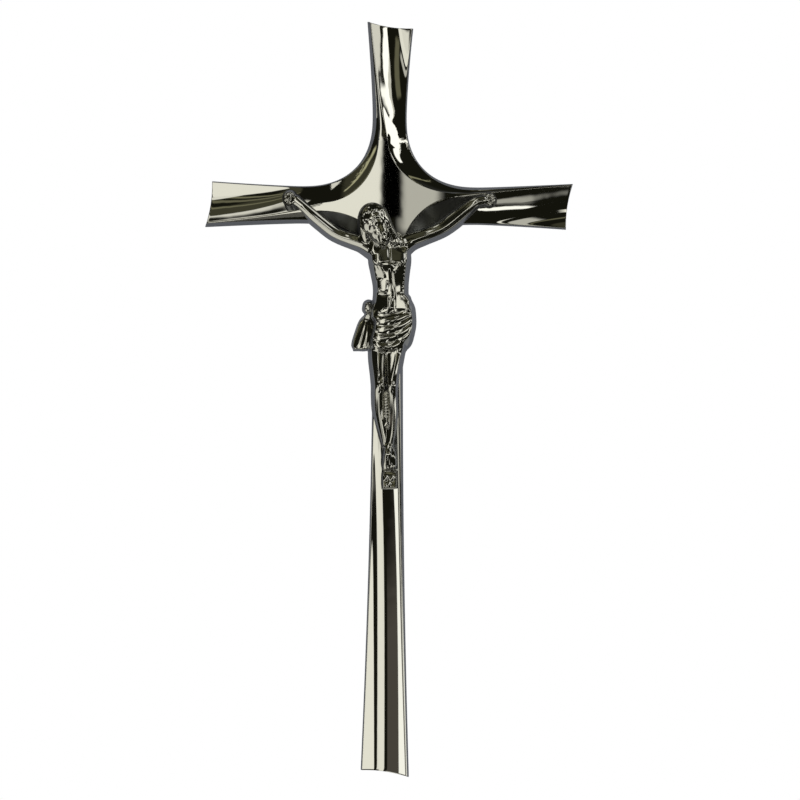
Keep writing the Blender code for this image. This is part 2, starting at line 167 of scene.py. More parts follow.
studioSettings = {
    "backdrop": (1.0, 1.0, 1.0, 1),
    "front": (0.014, 0.014, 0.009),
    "behind": (0.29, 0.30, 0.32),
    "behindFrom": 0.30,
    "behindFull": 0.75,
    "gap": ((-1.2, 1), (1.7, 1), (1.7, 14), (-1.2, 14)),
    "gapSoftness": 0.35,
}
beige = (1.0, 0.99, 0.92)
olive = (1.0, 0.97, 0.62)
brown = (1.0, 0.90, 0.78)
white = (1.0, 1.0, 0.97)
boxes = {      # glow, tint, softness of the edge, and corners in degrees to the right and up, anticlockwise
    "tall left": (1.55, beige, 0.5, ((-16, -27), (-1.3, -27), (-1.3, 40), (-3.6, 40), (-13.5, 3))),
    "tall right": (0.9, beige, 1.0, ((1.6, -1.2), (7.4, -1.2), (7.4, 12), (1.6, 12))),
    "upper stripe": (2.3, white, 0.2, (
        (31, 21), (34.5, 18.2), (38.4, 17), (45.8, 16.3), (62.5, 16.3), (62.5, 17.3))),
    "upper stripe, shade": (1.15, beige, 0.2, (
        (31, 21), (34.5, 18), (38.4, 16.2), (45.8, 15.1), (62.5, 15.3), (62.5, 17))),
    "upper stripe, middle": (2.3, white, 0.2, (
        (61, 16), (66, 16.4), (79.5, 17.8), (79.5, 19.6), (61, 17.2))),
    "upper stripe, middle shade": (1.15, beige, 0.2, (
        (61, 15.3), (66, 15.8), (79, 17.4), (79, 19), (61, 17))),
    "upper stripe, lower": (2.3, white, 0.4, (
        (78.2, 12.6), (95, 12.6), (95, 17.5), (88, 24), (81, 24), (78.2, 19))),
    "upper stripe, tip": (2.3, white, 0.6, ((81, 23.5), (92.5, 23.5), (98.9, 38), (95.5, 38.4))),
    "upper flank": (1.3, beige, 0.15, (
        (52.4, 19.7), (52.8, 19.2), (58.8, 18.6), (62, 18.35), (66, 18.3), (68.5, 18.6), (68.5, 24),
        (52.4, 24))),
    "upper glimmer": (0.22, olive, 0.8, ((0, 14.5), (33, 8.5), (45, 12), (10, 16.5))),
    "upper wedge": (1.4, beige, 0.7, ((-30, 10.5), (-5, 5.5), (-1.4, 6), (-1.4, 14.5), (-8, 16.5))),
    "lower right": (1.6, beige, 0.6, ((13, -9.5), (40, -10), (40, -1.5), (12, -1.5))),
    "lower middle": (1.5, beige, 0.7, ((-15, -9.5), (6, -9.5), (-2.5, -1.5), (-22, -1.5))),
    "lower brown": (0.13, brown, 1.0, ((-54, -10), (-23, -10), (-28, -4.3), (-54, -4.3))),
    "lower far left": (1.9, white, 0.8, ((-66, -10), (-54.5, -10), (-53, -2), (-66, -2))),
    "lower far right": (1.9, white, 0.8, ((60, -8), (100, -8), (100, -1.6), (60, -1.6))),
    "ceiling left": (1.3, beige, 0.8, (
        (-28.5, 53), (-28.5, 58.6), (-36, 63), (-47, 66.5), (-60, 69.2), (-75, 70.5), (-75, 60))),
    "streak near": (0.35, olive, 0.5, ((-12.6, 0), (-11.4, 0), (-11.4, 45), (-12.6, 45))),
    "streak middle": (0.25, olive, 0.5, ((-15.6, 10), (-14, 10), (-14, 50), (-15.6, 50))),
    "streak far": (0.30, olive, 0.6, ((-20.2, 30), (-18.6, 30), (-18.6, 60), (-20.2, 60))),
    "floor right": (0.7, beige, 0.8, ((18.3, -43), (21.5, -53), (25.5, -60), (29.5, -61), (19, -42))),
    "floor right dim": (0.3, beige, 1.0, ((16, -36), (19.5, -50), (21.5, -53), (18.3, -40))),
    "floor line": (2.2, white, 0.5, ((12.7, -40), (15, -56), (18, -56), (14.3, -28), (12.9, -27))),
    "floor left": (1.1, beige, 4.0, ((-120, -65), (-35, -65), (-22, -16), (-60, -16))),
    "ceiling right": (1.2, white, 3.0, ((30, 28), (60, 26), (75, 55), (35, 55))),
    "floor patch": (0.8, beige, 3.0, ((60, -60), (85, -60), (85, -45), (60, -45))),
    "front olive": (0.075, olive, 2.0, ((5, 27), (19, 27), (19, 38), (5, 38))),
    "ceiling olive": (0.09, olive, 4.0, ((-60, 37), (28, 37), (28, 60), (-60, 60))),
    "wall olive": (0.07, olive, 5.0, ((-135, 20), (-80, 20), (-80, 62), (-135, 62))),
    "wall streak": (0.75, olive, 1.5, ((-109, 14), (-105, 14), (-103, 60), (-107, 60))),
    "wall streak, right": (0.45, olive, 1.5, ((118, 40), (121, 40), (125, 66), (121, 66))),
}


def makeStudio():
    world = bpy.data.worlds.new("studio")
    bpy.context.scene.world = world
    world.use_nodes = True
    graph = Graph(world.node_tree)
    way = graph.node("ShaderNodeTexCoord", {}, {}, "Generated")
    apart = graph.tree.nodes.new("ShaderNodeSeparateXYZ")
    graph.plug(way, apart, "Vector")
    x, y, z = (Wire(graph, apart.outputs[i]) for i in range(3))
    degree = 180 / math.pi
    azimuth = x.math("ARCTAN2", x, 0.0 - y) * degree
    height = z.math("ARCSINE", z) * degree

    def step(value, start, end):
        return graph.node("ShaderNodeMapRange", {"interpolation_type": "SMOOTHSTEP"},
                          {"Value": value, "From Min": start, "From Max": end})

    def inside(corners, softness):
        share = None
        for (a0, h0), (a1, h1) in zip(corners, corners[1:] + corners[:1]):
            length = math.hypot(a1 - a0, h1 - h0)
            depth = azimuth * ((h0 - h1) / length) + height * ((a1 - a0) / length)
            line = ((h0 - h1) * a0 + (a1 - a0) * h0) / length
            edge = step(depth, line - softness, line + softness)
            share = edge if share is None else share * edge
        return share

    behind = step(y, studioSettings["behindFrom"], studioSettings["behindFull"])
    light = [behind * (far - near) + near
             for near, far in zip(studioSettings["front"], studioSettings["behind"])]
    for glow, tint, softness, corners in boxes.values():
        share = inside(corners, softness)
        light = [old.math("MAXIMUM", old, share * (glow * part)) for old, part in zip(light, tint)]
    beyondGap = 1 - inside(studioSettings["gap"], studioSettings["gapSoftness"])
    red, green, blue = (part * beyondGap for part in light)
    colour = graph.node("ShaderNodeCombineColor", {}, {"Red": red, "Green": green, "Blue": blue})
    room = graph.node("ShaderNodeBackground", {}, {"Color": colour, "Strength": 1.0})
    plain = graph.node("ShaderNodeBackground", {}, {"Color": studioSettings["backdrop"], "Strength": 1.0})
    seen = graph.node("ShaderNodeLightPath", {}, {}, "Is Camera Ray")
    shown = graph.node("ShaderNodeMixShader", {}, {0: seen, 1: room, 2: plain})
    graph.plug(shown, world.node_tree.nodes["World Output"], "Surface")
    bpy.context.scene.view_settings.view_transform = "Standard"


makeStudio()
print("studio made")


# The cross: four coves round a raised star

crossSettings = {
    "shortReach": 0.0954,
    "footReach": 0.3010,
    "shortNeckAt": 0.0462,
    "footNeckAt": 0.0445,
    "starTipAt": 0.0355,
    "endSkew": 0.0012,
    "endHollow": 0.0018,
    "endHollowSide": -0.25,
    "starTop": 0.0136,
    "starTipHeight": 0.0122,
    "rimHeight": 0.0032,
    "tipRimShare": 0.6,
    "rimRiseFrom": 0.4,      # share of the corner where the rim starts to rise
    "coveRadius": 0.021,
    "tailSlope": 0.9,
    "crestEndWidth": 0.0005,
    "stripEndWidth": 0.0003,
    "stripClosing": 1.5,      # the power by which the strip narrows
    "ridgeSwing": 0.06,
    "ridgeThinning": 5,      # the power by which the ridge narrows
    "endCloseness": 3,      # the power by which rows take the line of the arm's end
    "wallDraft": math.radians(12),
    "endDraft": math.radians(5),
    "ridgeRound": 0.0005,
    "rimRound": 0.00025,
    "roundMost": 0.4,
    "starSnap": 0.00012,
    "overrun": 0.004,
    "cutNear": 1e-7,      # corners this near the back's plane count as on it
    "weld": 2e-7,      # corners this near each other become one
    "digits": 7,      # places alike to these digits share a corner
    "tiny": 1e-9,
    "armSteps": 12,
    "cornerSteps": 16,
    "coveSteps": 8,
    "starRings": 6,
    "smoothing": 2,
}
wallSlope = math.tan(crossSettings["wallDraft"])
endSlope = math.tan(crossSettings["endDraft"])
shortArm = dict(reach=crossSettings["shortReach"], neckAt=crossSettings["shortNeckAt"], end=0.0122,
                crestEnd=0.0064, crestFall=1.0)
sideArm = dict(shortArm, neck=0.0099, flare=1.3)
arms = (      # the top one, then clockwise
    dict(shortArm, outward=(0, 1), neck=0.0090, flare=1.5, crestInner=0.0012, crestOuter=0.0054,
         corner=2.35, draftEnd=12),
    dict(sideArm, outward=(1, 0), crestInner=0.0042, crestOuter=0.0060, corner=2.6, draftEnd=6),
    dict(outward=(0, -1), reach=crossSettings["footReach"], neckAt=crossSettings["footNeckAt"], end=0.0128,
         neck=0.0079, flare=2.0, crestEnd=0.0062, crestFall=4.0, crestInner=0.0020, crestOuter=0.0046,
         corner=2.6, draftEnd=9),
    dict(sideArm, outward=(-1, 0), crestInner=-0.0005, crestOuter=0.0034, corner=2.35, draftEnd=15),
)


def armShare(arm, along, start):
    return min(1.0, max(0.0, (along - start) / (arm["reach"] - start)))


def halfWidth(arm, along):
    share = armShare(arm, along, arm["neckAt"])
    return arm["neck"] + (arm["end"] - arm["neck"]) * share ** arm["flare"]


def starHeight(x, z):      # the star is a shallow pillow
    drop = crossSettings["starTop"] - crossSettings["starTipHeight"]
    return crossSettings["starTop"] - drop * (x * x + z * z) / crossSettings["starTipAt"] ** 2


def crestHeight(arm, along):
    share = armShare(arm, along, crossSettings["starTipAt"])
    tip = crossSettings["starTipHeight"]
    return arm["crestEnd"] + (tip - arm["crestEnd"]) * (1 - share) ** arm["crestFall"]


def stripWidth(arm, along):
    rim = crossSettings["starTipHeight"] * wallSlope * crossSettings["tipRimShare"]
    tipEdge = halfWidth(arm, crossSettings["starTipAt"]) - rim
    share = armShare(arm, along, crossSettings["starTipAt"])
    endWidth = crossSettings["stripEndWidth"]
    start = max(endWidth, tipEdge - arm["crestOuter"])
    return endWidth + (start - endWidth) * (1 - share) ** crossSettings["stripClosing"]


def leadingSlope(arm, along):      # the draft of the wall on an arm's leading side
    share = armShare(arm, along, crossSettings["starTipAt"])
    return wallSlope + (math.tan(math.radians(arm["draftEnd"])) - wallSlope) * share


def leadingRim(arm, along):
    return crestHeight(arm, along) - crossSettings["tailSlope"] * stripWidth(arm, along)


def crestSides(arm, along):
    share = armShare(arm, along, crossSettings["starTipAt"])
    if along <= crossSettings["starTipAt"]:
        return arm["crestInner"], arm["crestOuter"]
    wall = leadingRim(arm, along) * leadingSlope(arm, along)
    outer = halfWidth(arm, along) - wall - stripWidth(arm, along)
    swing = ease(min(1.0, share / crossSettings["ridgeSwing"]))
    outer = arm["crestOuter"] + (outer - arm["crestOuter"]) * swing
    endWidth = crossSettings["crestEndWidth"]
    narrowing = (1 - share) ** crossSettings["ridgeThinning"]
    width = endWidth + (arm["crestOuter"] - arm["crestInner"] - endWidth) * narrowing
    return outer - width, outer


def endLine(arm, lateral):
    side = lateral / arm["end"]
    middle = crossSettings["endHollowSide"]
    hollow = 1 - (side - middle) ** 2 / (1 + abs(middle)) ** 2
    return arm["reach"] + crossSettings["endSkew"] * side - crossSettings["endHollow"] * (hollow - 0.5)


def armShares(arm):      # from the end inwards, with one row close to the end that keeps its edge crisp
    steps = crossSettings["armSteps"] - 1
    crisp = crossSettings["rimRound"] / (arm["reach"] - arm["neckAt"])
    return [1.0, 1 - crisp] + [1 - step / steps for step in range(1, steps + 1)]


def coveStations(first, second):      # from the end of one arm round the corner to the end of the next
    rows = []
    tipAt = crossSettings["starTipAt"]
    for share in armShares(first):
        along = first["neckAt"] + share * (first["reach"] - first["neckAt"])
        tip = tipAt + share * (first["reach"] - tipAt)
        inner = -crestSides(first, tip)[0]
        rows.append(((halfWidth(first, along), along), (inner, tip), crossSettings["rimHeight"],
                     crestHeight(first, tip), share, 0))
    centre = (second["neckAt"], first["neckAt"])
    spans = (centre[0] - first["neck"], centre[1] - second["neck"])
    starSpans = (tipAt + first["crestInner"], tipAt - second["crestOuter"])
    corners = crossSettings["cornerSteps"]
    rimStart = crossSettings["rimHeight"]
    rimRiseFrom = crossSettings["rimRiseFrom"]
    power = 2 / first["corner"]
    for step in range(1, corners):
        angle = math.pi / 2 * step / corners
        cosine = math.cos(angle)
        sine = math.sin(angle)
        outer = (centre[0] - spans[0] * cosine ** power, centre[1] - spans[1] * sine ** power)
        inner = (tipAt - starSpans[0] * cosine, tipAt - starSpans[1] * sine)
        rise = ease(max(0.0, step / corners - rimRiseFrom) / (1 - rimRiseFrom))
        rim = rimStart + (leadingRim(second, second["neckAt"]) - rimStart) * rise
        rows.append((outer, inner, rim, starHeight(*inner), 0.0, 0))
    for share in armShares(second)[::-1]:
        along = second["neckAt"] + share * (second["reach"] - second["neckAt"])
        tip = tipAt + share * (second["reach"] - tipAt)
        inner = crestSides(second, tip)[1]
        rows.append(((along, halfWidth(second, along)), (tip, inner), leadingRim(second, along),
                     crestHeight(second, tip), share, 1))
    return rows


def coveLines(first, second):      # across the cove at each station, from ridge to rim and down the wall
    rows = coveStations(first, second)
    outer = np.array([row[0] for row in rows])
    along = np.gradient(outer, axis=0)
    normal = np.column_stack([-along[:, 1], along[:, 0]])
    normal /= np.linalg.norm(normal, axis=1)[:, None]
    steps = crossSettings["coveSteps"]
    lines = []
    for row, away in zip(rows, normal):
        outerPoint, inner, rim, crest, share, which = row
        outerPoint = np.array(outerPoint)
        inner = np.array(inner)
        arm = (first, second)[which]
        slope = leadingSlope(arm, outerPoint[0]) if which else wallSlope
        edge = outerPoint - away * rim * slope
        axis = 1 - which
        sag = float(np.hypot(*(edge - inner))) ** 2 / (8 * crossSettings["coveRadius"])
        hold = share ** crossSettings["endCloseness"]
        line = []
        for step in range(steps + 1):
            part = step / steps
            height = crest + (rim - crest) * part - sag * 4 * part * (1 - part)
            place = inner + (edge - inner) * part
            lateral = -place[0] if which == 0 else place[1]
            place[axis] += (endLine(arm, lateral) - arm["reach"] - height * endSlope) * hold
            line.append((place[0], place[1], height))
        foot = outerPoint.copy()
        lateral = -foot[0] if which == 0 else foot[1]
        foot[axis] += (endLine(arm, lateral) - arm["reach"]) * hold
        behind = crossSettings["overrun"] / line[-1][2]
        foot = foot + (foot - np.array(line[-1][:2])) * behind
        line.append((foot[0], foot[1], -crossSettings["overrun"]))
        turned = []
        for p in line:
            plan = p[0] * np.array(second["outward"]) + p[1] * np.array(first["outward"])
            turned.append(np.array((plan[0], -p[2], plan[1])))
        lines.append(turned)
    return lines


def towards(start, goal, distance, most):
    way = goal - start
    length = float(np.linalg.norm(way))
    if length < crossSettings["tiny"]:
        return start.copy()
    return start + way * min(distance, most * length) / length


def roundCorner(points, corner, radius):      # the corner becomes three points of a round
    most = crossSettings["roundMost"]
    before = towards(points[corner], points[corner - 1], radius, most)
    after = towards(points[corner], points[corner + 1], radius, most)
    middle = (before + 2 * points[corner] + after) / 4
    return points[:corner] + [before, middle, after] + points[corner + 1:]


def trueStar(piece):      # lays the subdivided star exactly on its pillow, so that it mirrors cleanly
    places = readAll(piece.data.vertices, "co", 3)
    pillow = starHeight(places[:, 0], places[:, 2])
    apart = np.abs(pillow + places[:, 1])
    share = np.clip(2 - apart / crossSettings["starSnap"], 0, 1)
    share *= np.hypot(places[:, 0], places[:, 2]) < crossSettings["starTipAt"]
    places[:, 1] -= (pillow + places[:, 1]) * share
    piece.data.vertices.foreach_set("co", places.ravel())
    piece.data.update()


def makeCross():
    mesh = bmesh.new()
    placed = {}

    def vertex(p):
        place = [float(part) for part in p]
        key = tuple(round(part, crossSettings["digits"]) for part in place)
        if key not in placed:
            placed[key] = mesh.verts.new(place)
        return placed[key]

    def face(*corners):
        distinct = list(dict.fromkeys(corners))
        if len(distinct) > 2:
            mesh.faces.new(distinct)

    coves = [coveLines(arms[i], arms[(i + 1) % 4]) for i in range(4)]
    steps = crossSettings["armSteps"]
    corners = crossSettings["cornerSteps"]
    count = len(coves[0])
    shrink = 1 - 1 / crossSettings["starRings"]
    overrun = crossSettings["overrun"]
    fronts = []
    for number, cove in enumerate(coves):
        before = coves[number - 1]
        after = coves[(number + 1) % 4]
        rows = []
        for i, line in enumerate(cove):
            ridge = line[0]
            if i < steps:
                opposite = before[count - 1 - i][0]
            elif i > steps + corners:
                opposite = after[count - 1 - i][0]
            else:
                plan = ridge[[0, 2]] * shrink
                opposite = np.array((plan[0], -starHeight(*plan), plan[1]))
            line = [opposite] + line
            line = roundCorner(line, len(line) - 2, crossSettings["rimRound"])
            line = roundCorner(line, 1, crossSettings["ridgeRound"])
            rows.append([vertex(p) for p in line[1:]])
        for i in range(count - 1):
            for j in range(len(rows[0]) - 1):
                face(rows[i][j], rows[i][j + 1], rows[i + 1][j + 1], rows[i + 1][j])
        fronts.append(rows)
    for number in range(4):
        rows = fronts[number]
        before = fronts[number - 1]
        for i in range(steps):
            face(before[-1 - i][0], rows[i][0], rows[i + 1][0], before[-2 - i][0])
        front = before[-1][::-1][2:] + rows[0][:-2]
        outward = Vector((arms[number]["outward"][0], 0, arms[number]["outward"][1]))
        lips = []
        feet = []
        for v in front:
            for row, depth in ((lips, v.co.y + crossSettings["rimRound"]), (feet, overrun)):
                place = v.co + outward * (depth - v.co.y) * endSlope
                place.y = depth
                row.append(place)
        lips = [before[-1][-2]] + [vertex(p) for p in lips[1:-1]] + [rows[0][-2]]
        feet = [before[-1][-1]] + [vertex(p) for p in feet[1:-1]] + [rows[0][-1]]
        for upper, lower in ((front, lips), (lips, feet)):
            for a, b, c, d in zip(upper, upper[1:], lower, lower[1:]):
                face(a, b, d, c)
    star = []
    for rows in fronts:
        star += [rows[i][0] for i in range(steps, steps + corners + 1)]
    ridge = []
    for cove in coves:
        ridge += [cove[i][0] for i in range(steps, steps + corners + 1)]
    rings = [star]
    for ring in range(1, crossSettings["starRings"]):
        size = 1 - ring / crossSettings["starRings"]
        plan = [p[[0, 2]] * size for p in ridge]
        rings.append([vertex((p[0], -starHeight(*p), p[1])) for p in plan])
    middle = vertex((0, -crossSettings["starTop"], 0))
    for large, small in zip(rings, rings[1:]):
        for i in range(len(star)):
            k = (i + 1) % len(star)
            face(large[i], large[k], small[k], small[i])
    for i in range(len(star)):
        face(rings[-1][i], rings[-1][(i + 1) % len(star)], middle)
    bmesh.ops.remove_doubles(mesh, verts=mesh.verts, dist=crossSettings["weld"])
    bmesh.ops.recalc_face_normals(mesh, faces=mesh.faces)
    data = bpy.data.meshes.new("cross")
    mesh.to_mesh(data)
    mesh.free()
    made = bpy.data.objects.new("cross", data)
    bpy.context.scene.collection.objects.link(made)
    return made


# The figure: a relief on the cross, in thousandths of its own height

figureSettings = {
    "height": 0.151,
    "bulge": 0.6,
    "draft": math.radians(8),
    "bulges": {"trunk": 0.42, "hip": 0.5, "left hand": 0.55, "right hand": 0.55, "hair to the right": 0.5,
               "hair to the left": 0.5, "skull": 0.7, "face": 0.7},
    "blend": 7,
    "grid": 0.00018,
    "faces": 125000,
    "deep": 60,
    "softening": 1,
    "shadeSoftening": 1,
    "shadeWithin": 1.2,
    "shadeAgreement": 0.6,
    "overrun": 0.002,
    "runSteps": 6,
    "low": (-412, -1020),
    "high": (418, 62),
    "wallMargin": 12,
    "plateBlend": 3.5,
    "carvePower": 1.5,      # how steeply strokes and swells end
    "panelPower": 4,      # how square a panel is
    "shadeAbove": 1,
    "lastCell": 1.001,      # keeps a place inside the grid's last cell
}
thousandth = figureSettings["height"] / 1000
steep = 1 / math.tan(figureSettings["draft"])
nowhere = -1e3      # below every form
farAway = 1e9

limbs = {      # runs of (x, z, half width, front)
    "trunk": [(2, -150, 63, 106), (4, -196, 62, 127), (6, -240, 56, 118), (8, -284, 51, 109),
              (9, -325, 53, 107), (13, -363, 70, 108), (17, -409, 69, 108), (5, -458, 61, 103),
              (0, -490, 54, 97)],
    "left arm": [(-326, 12, 17, 91), (-303, -6, 16, 92), (-270, -35, 19, 93), (-231, -67, 20, 91),
                 (-196, -94, 20, 90), (-164, -111, 19, 91), (-129, -123, 20, 95), (-94, -133, 23, 103),
                 (-55, -149, 31, 117)],
    "right arm": [(329, 17, 17, 92), (302, 9, 17, 94), (267, -18, 20, 95), (227, -51, 22, 94),
                  (194, -76, 21, 92), (166, -91, 20, 92), (124, -107, 21, 95), (78, -124, 24, 105),
                  (43, -145, 31, 117)],
    "left leg": [(-33, -472, 27, 96), (-33, -536, 25, 101), (-30, -595, 20, 106), (-27, -634, 19, 109),
                 (-28, -669, 19, 98), (-26, -718, 19, 89), (-18, -771, 16, 83), (-4, -841, 12, 79)],
    "right leg": [(26, -465, 35, 96), (20, -535, 26, 103), (16, -595, 19, 109), (15, -634, 16, 113),
                  (16, -669, 15, 101), (17, -722, 17, 93), (15, -778, 15, 88), (8, -841, 12, 86)],
    "upper foot": [(5, -845, 12, 88), (1, -876, 13, 93), (-1, -904, 14, 81), (0, -918, 14, 73)],
    "lower foot": [(12, -848, 12, 79), (18, -880, 13, 79), (19, -911, 13, 73)],
    "between the legs": [(-6, -599, 10, 66), (-6, -665, 11, 72), (-3, -788, 10, 63)],
    "hair to the right": [(-24, -26, 11, 142), (-13, -60, 15, 139), (1, -98, 19, 129), (16, -128, 24, 119)],
    "hair to the left": [(-94, -48, 10, 132), (-90, -86, 11, 126), (-78, -122, 14, 116)],
    "knot": [(-69, -352, 14, 63), (-71, -364, 14, 63)],
}
domes = {      # centre, half sizes, front and lean
    "skull": ((-53, -56), (49, 57), 158, 18),
    "face": ((-36, -93), (32, 46), 156, 18),
    "beard": ((-22, -125), (19, 19), 150, 18),
    "hip": ((50, -405), (36, 72), 111, 0),
    "left hand": ((-347, 20), (23, 25), 84, 0),
    "right hand": ((350, 20), (25, 25), 84, 0),
}
plates = {      # corners, rounding of the edge and front
    "cloth end": ([(-78, -381), (-59, -381), (-59, -506), (-118, -508), (-122, -494)], 7, 41),
    "foot block": ([(-13, -933), (30, -932), (32, -991), (-14, -991)], 7, 65),
}
layers = {      # corners, width of the edge and rise
    "loincloth": ([(-66, -388), (-66, -437), (-58, -499), (-7, -513), (18, -514), (52, -497), (86, -454),
                   (98, -408), (96, -362), (13, -384)], 6, 5),
}
carving = {      # points, half width and rise, where a cut has a negative rise
    "chest": [
        ([(1, -146), (2, -172), (5, -198)], 8, -1.6),
        ([(-52, -200), (-27, -209), (3, -204), (30, -209), (53, -198)], 7, -2.4),
    ],
    "ribs": [
        ([(-44, -200), (-28, -228), (-12, -258)], 8, 3.0),
        ([(48, -198), (36, -219), (21, -238)], 8, 3.0),
    ],
    "belly": [
        ([(7, -222), (12, -261), (20, -317), (20, -374)], 8, -3.0),
        ([(-48, -312), (-16, -318), (10, -312)], 8, -2.0),
    ],
    "thighs": [
        ([(-34, -508), (-33, -560), (-28, -620)], 10, 3.0),
        ([(36, -500), (28, -560), (15, -618)], 10, 3.0),
    ],
    "shins": [
        ([(-30, -659), (-26, -736), (-6, -838)], 9, 3.0),
        ([(19, -655), (22, -735), (14, -837)], 9, 3.0),
    ],
    "insteps": [
        ([(-1, -852), (-6, -880), (-4, -911)], 6, 2.5),
        ([(10, -852), (15, -880), (16, -911)], 6, 2.5),
    ],
}
folds = {      # half width, rise, and the lines of a set of folds that meet in sharp valleys
    "loincloth": (17, 6.0, [
        [(-66, -401), (-30, -409), (8, -407), (48, -394), (92, -368)],
        [(-67, -428), (-30, -438), (10, -436), (50, -419), (90, -389)],
        [(-63, -456), (-26, -468), (12, -465), (54, -445), (87, -413)],
        [(-57, -485), (-22, -498), (14, -495), (54, -473), (82, -441)],
        [(96, -392), (92, -428), (78, -460), (56, -490)]]),
    "cloth end": (10, 3.0, [
        [(-76, -388), (-92, -445), (-110, -506)],
        [(-69, -388), (-79, -459), (-90, -508)],
        [(-63, -388), (-66, -470), (-71, -510)]]),
}
panels = {      # centre, half sizes, lean, height, slopes to the right and up, share
    "chest": ((3, -176), (72, 40), 0, 121, (-0.10, -0.27), 0.8),
    "upper belly": ((-22, -284), (20, 26), 0, 113, (0.06, -0.05), 0.8),
    "left belly": ((-18, -348), (24, 34), 10, 108, (0.30, -0.22), 0.7),
    "right belly": ((52, -343), (27, 34), -8, 108, (0.06, -0.05), 0.85),
    "block": ((8, -961), (30, 36), 0, 64, (-0.18, -0.16), 1.0),
    "loincloth": ((14, -440), (80, 78), 0, 105, (-0.24, -0.06), 0.5),
    "cloth end": ((-88, -450), (36, 64), -16, 36, (0.22, -0.20), 0.9),
    "left thigh": ((-19, -568), (9, 60), -6, 100, (0.06, -0.05), 0.85),
    "between the shins": ((-5, -712), (11, 66), 0, 79, (0.06, -0.05), 0.9),
}
swells = {      # centre, half sizes, lean and rise
    "navel": [((16, -330), (6, 6), 0, -2.5)],
    "knees": [((-27, -636), (15, 18), 0, 3.5), ((14, -633), (14, 18), 0, 3.5)],
    "stones of the block": [((-3, -957), (10, 10), 0, 4.5), ((18, -957), (10, 10), 0, 4.5),
                            ((7, -978), (9, 9), 0, 4.0)],
    "knot": [((-74, -352), (9, 13), 40, 4.0), ((-64, -364), (8, 12), 40, 3.5)],
}
beadRows = {      # first, last, number, half sizes, lean and rise
    "left ribs": ((-52, -214), (-46, -256), 3, (13, 6), -28, 1.8),
    "right ribs": ((58, -206), (53, -318), 9, (7, 6), 30, 2.2),
    "toes": ((-13, -920), (25, -921), 5, (5, 9), 0, 2.6),
    "hatching between the legs": ((-3, -676), (-3, -738), 7, (8, 4), 28, 1.4),
}
hairStrands = {      # guide, number of strands, spread
    "right": ([(-22, -24), (-10, -52), (2, -88), (14, -122), (20, -150)], 3, 26),
    "far right": ([(6, -70), (28, -100), (44, -126), (50, -146)], 2, 12),
    "left": ([(-92, -36), (-98, -74), (-90, -108), (-86, -142)], 2, 12),
    "inner left": ([(-74, -62), (-76, -95), (-68, -121), (-66, -142)], 2, 12),
}
strandSettings = {
    "width": 7.5,
    "rise": 2.6,
    "wave": 1.2,
    "waveLength": 90,
    "phase": 1.9,
}
headSettings = {
    "centre": (-52, -54),
    "lean": 18,
    "bandPieces": 4,
    "bandSize": (16, 8),
    "bandLean": 24,
    "bandRise": 4.5,
    "band": [(-96, -42), (-84, -29), (-60, -26), (-35, -18), (-6, -29)],
}
faceSwells = [      # place in the head's own frame, half sizes, rise; those beside the middle are mirrored
    ((13, 6), (16, 8), 1.8),
    ((12, -6), (11, 8), -2.0),
    ((12, -7), (7, 4), 1.2),
    ((0, -10), (8, 19), 3.4),
    ((0, -36), (14, 8), 1.4),
    ((0, -38), (9, 3), -1.2),
]
beardSettings = {
    "strands": 3,
    "spread": 30,
    "guide": [(6, -48), (7, -66), (4, -90)],
}
handSettings = {
    "left": ((-347, 20), 180),
    "right": ((350, 20), 0),
    "fingerTurns": (-66, -23, 20, 63),
    "knuckleAt": 19,
    "knuckle": (9, 8),
    "knuckleRise": 4.6,
    "tipAt": 4,
    "tip": (7, 7),
    "tipRise": 3.6,
    "thumbTurns": (112, -112),
    "thumbLean": 90,
    "thumbRise": 4.2,
}
armStrips = {      # which limb, first and last station, offset to its side
    "left": ("left arm", 1, 8, 4),
    "right": ("right arm", 1, 8, -4),
}
stripSettings = {
    "width": 8,
    "rise": 3.0,
}


class Relief:      # heights above the back over a fine grid
    def __init__(self, low, high):
        cell = figureSettings["grid"] / thousandth
        self.x = np.arange(low[0], high[0] + cell, cell)
        self.z = np.arange(low[1], high[1] + cell, cell)
        self.height = np.full((len(self.z), len(self.x)), nowhere)

    def window(self, points, margin):
        points = np.array(points, float)[:, :2]
        low = points.min(axis=0) - margin
        high = points.max(axis=0) + margin
        columns = slice(*np.searchsorted(self.x, (low[0], high[0])))
        rows = slice(*np.searchsorted(self.z, (low[1], high[1])))
        x, z = np.meshgrid(self.x[columns], self.z[rows])
        return (rows, columns), x, z

    def join(self, place, form, blend):
        old = self.height[place]
        overlap = np.maximum(0, 1 - np.abs(old - form) / blend)
        self.height[place] = np.maximum(old, form) + blend * overlap * overlap / 4


def soften(height, times):      # along one way, then along the other
    weights = (1, 4, 6, 4, 1)
    for _ in range(2 * times):
        padded = np.pad(height, 2, mode="edge")[:, 2:-2]
        parts = [padded[k:k + len(height)] * weight for k, weight in enumerate(weights)]
        height = (sum(parts) / sum(weights)).T
    return height


def smoothRun(points):
    given = np.array(points, float)
    given = np.vstack([2 * given[0] - given[1], given, 2 * given[-1] - given[-2]])
    run = []
    for a, b, c, d in zip(given, given[1:], given[2:], given[3:]):
        for t in np.arange(figureSettings["runSteps"]) / figureSettings["runSteps"]:
            run.append(0.5 * (2 * b + (c - a) * t + (2 * a - 5 * b + 4 * c - d) * t * t
                              + (3 * b - a - 3 * c + d) * t ** 3))
    return np.array(run + [given[-2]])


